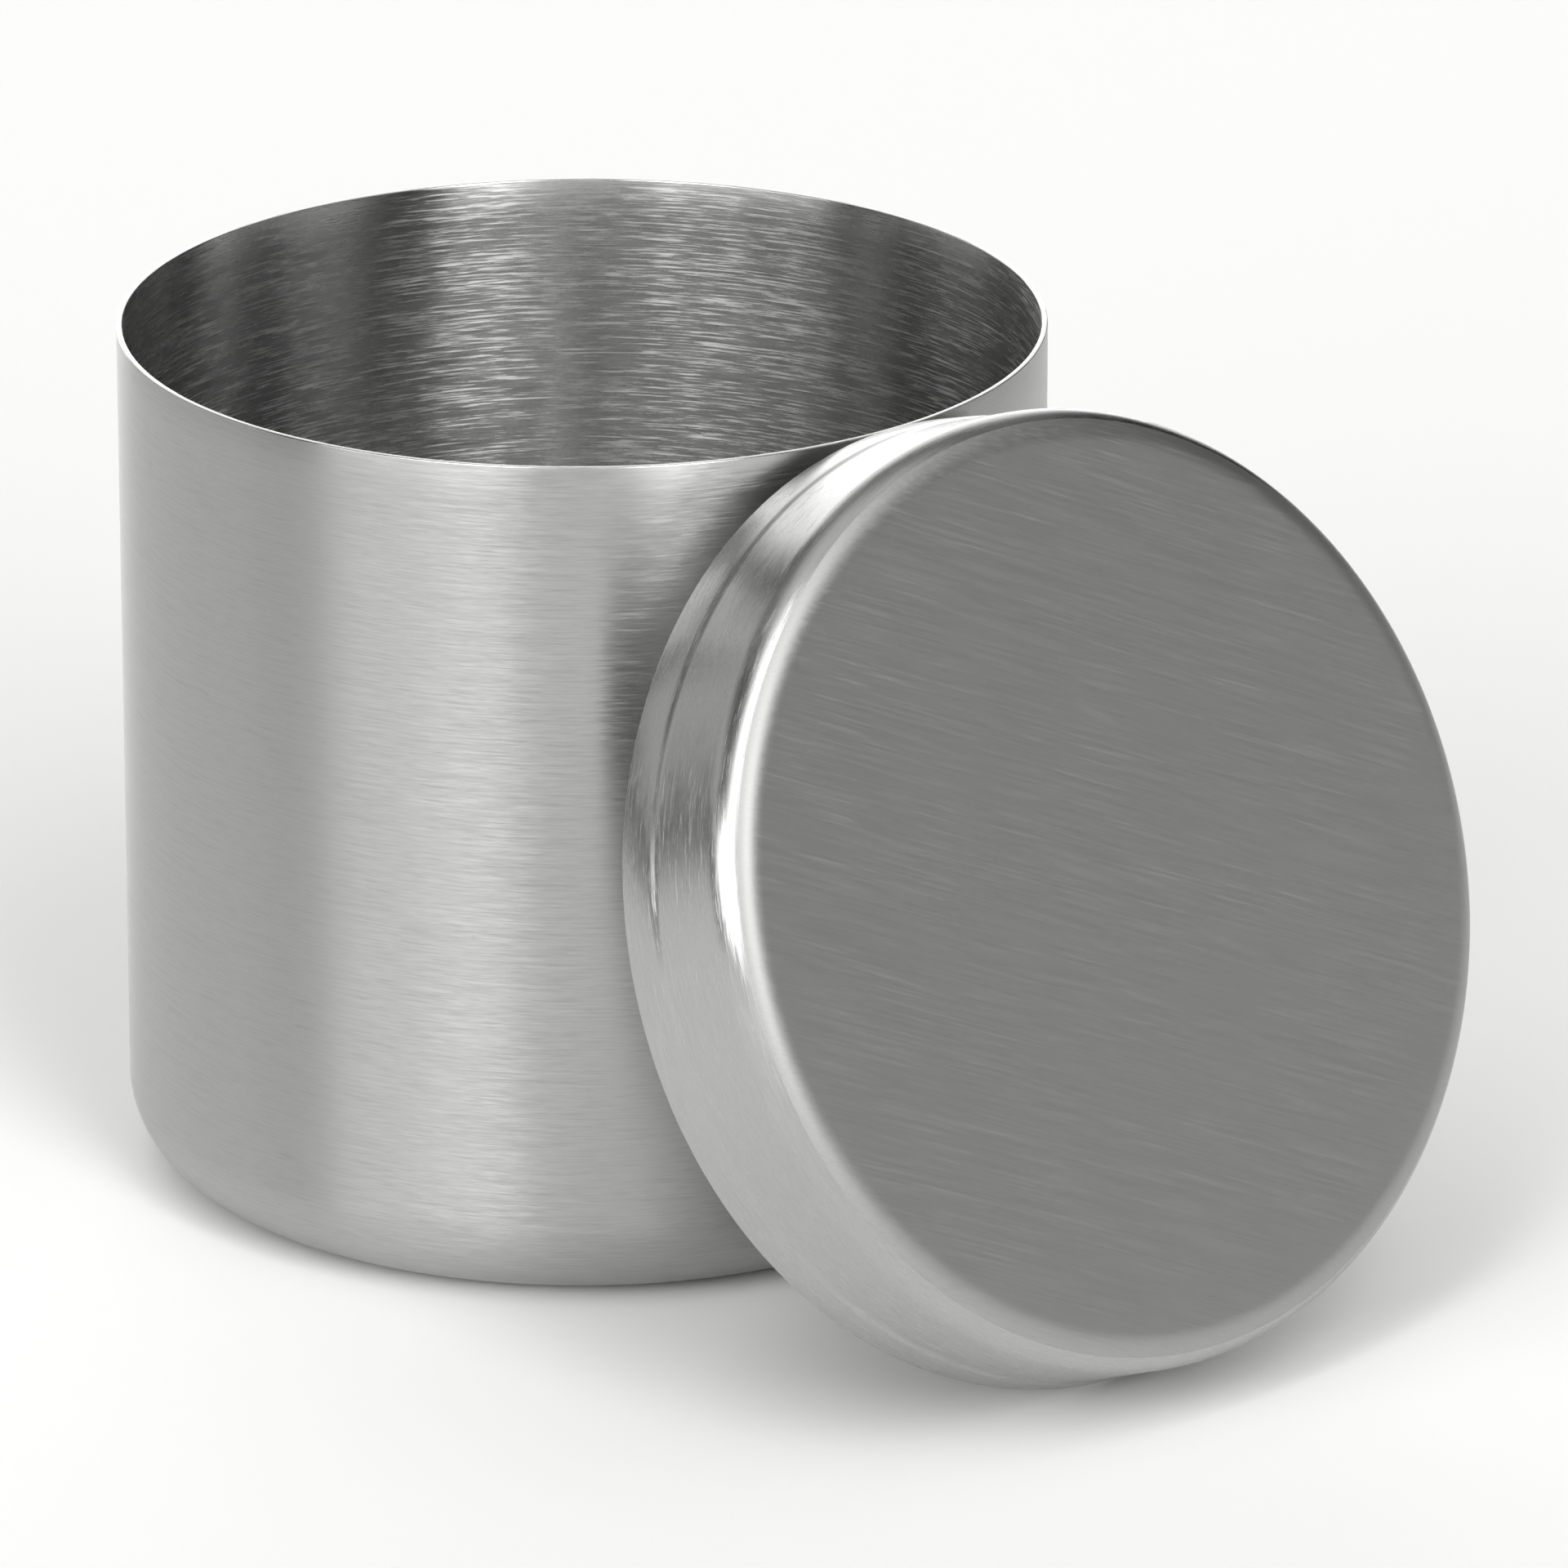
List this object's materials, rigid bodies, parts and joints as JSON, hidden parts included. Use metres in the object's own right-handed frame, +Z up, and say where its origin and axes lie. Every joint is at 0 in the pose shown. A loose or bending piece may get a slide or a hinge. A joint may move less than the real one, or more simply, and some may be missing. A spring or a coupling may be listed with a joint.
{
  "type": "candle tin",
  "caption": "Round straight-sided metal tin with a rounded bottom corner, and a shallow slip lid leaning open against its rim.",
  "frame": {"origin": "centre of the tin's flat underside, on the surface it stands on", "axes": "+Z up along the tin's axis, +X towards the lid that leans against the rim, +Y level and parallel to the lid's top face"},
  "size_m": [0.1222, 0.082, 0.0796],
  "materials": {
    "tin_steel": "stainless steel with a fine hairline brushed round the tin, plain and uncoated",
    "lid_steel": "stainless steel, hairline round the skirt and a very fine satin on the top"
  },
  "bodies": {
    "tin": {"tin_body": "tin_steel"},
    "lid": {"lid": "lid_steel"}
  },
  "joints": [
    {"name": "lid_swing", "type": "hinge", "parent": "tin", "child": "lid", "pos_m": [-0.00052, 0, 0.01667], "axis": [0, -1, 0], "range_deg": [0, 68.5]}
  ]
}
